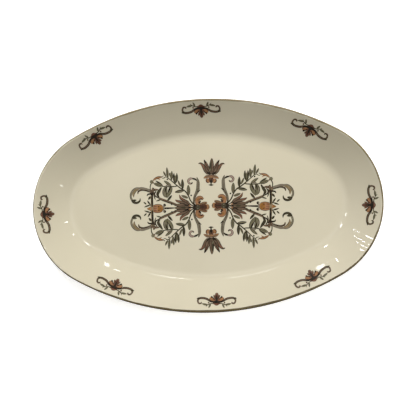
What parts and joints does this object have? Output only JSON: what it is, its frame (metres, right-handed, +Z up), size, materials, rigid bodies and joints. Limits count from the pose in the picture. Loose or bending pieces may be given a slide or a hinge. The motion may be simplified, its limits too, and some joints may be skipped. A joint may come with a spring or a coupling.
{
  "type": "china serving platter",
  "caption": "Deep oval china serving platter with sloping walls, an ivory glaze, an olive line on the lip, scroll and flower transfers, and a foot ring to stand on.",
  "frame": {"origin": "on the table, under the middle of the oval", "axes": "+X along the platter's length, +Y across its width, +Z up out of the dish"},
  "size_m": [0.3902, 0.2382, 0.0331],
  "materials": {
    "fired_clay": "unglazed off-white fired clay, seen only on the foot ring's face",
    "ivory_glaze": "smooth high-gloss ivory glaze, faintly uneven, over the whole dish",
    "olive_band": "hand-brushed olive-brown enamel line, glossy, its strength varying along the lip",
    "transfer_ink": "printed enamel in olive green, brown, rust and dull gold, glossy like the glaze"
  },
  "bodies": {
    "root": {"china_body": "fired_clay", "dish_glaze": "ivory_glaze", "base_glaze": "ivory_glaze", "lip_band": "olive_band", "centre_spray_right": "transfer_ink", "centre_spray_left": "transfer_ink", "tulip_upper": "transfer_ink", "tulip_lower": "transfer_ink", "rim_spray_right": "transfer_ink", "rim_spray_upper_right": "transfer_ink", "rim_spray_upper": "transfer_ink", "rim_spray_upper_left": "transfer_ink", "rim_spray_left": "transfer_ink", "rim_spray_lower_left": "transfer_ink", "rim_spray_lower": "transfer_ink", "rim_spray_lower_right": "transfer_ink"}
  },
  "joints": []
}
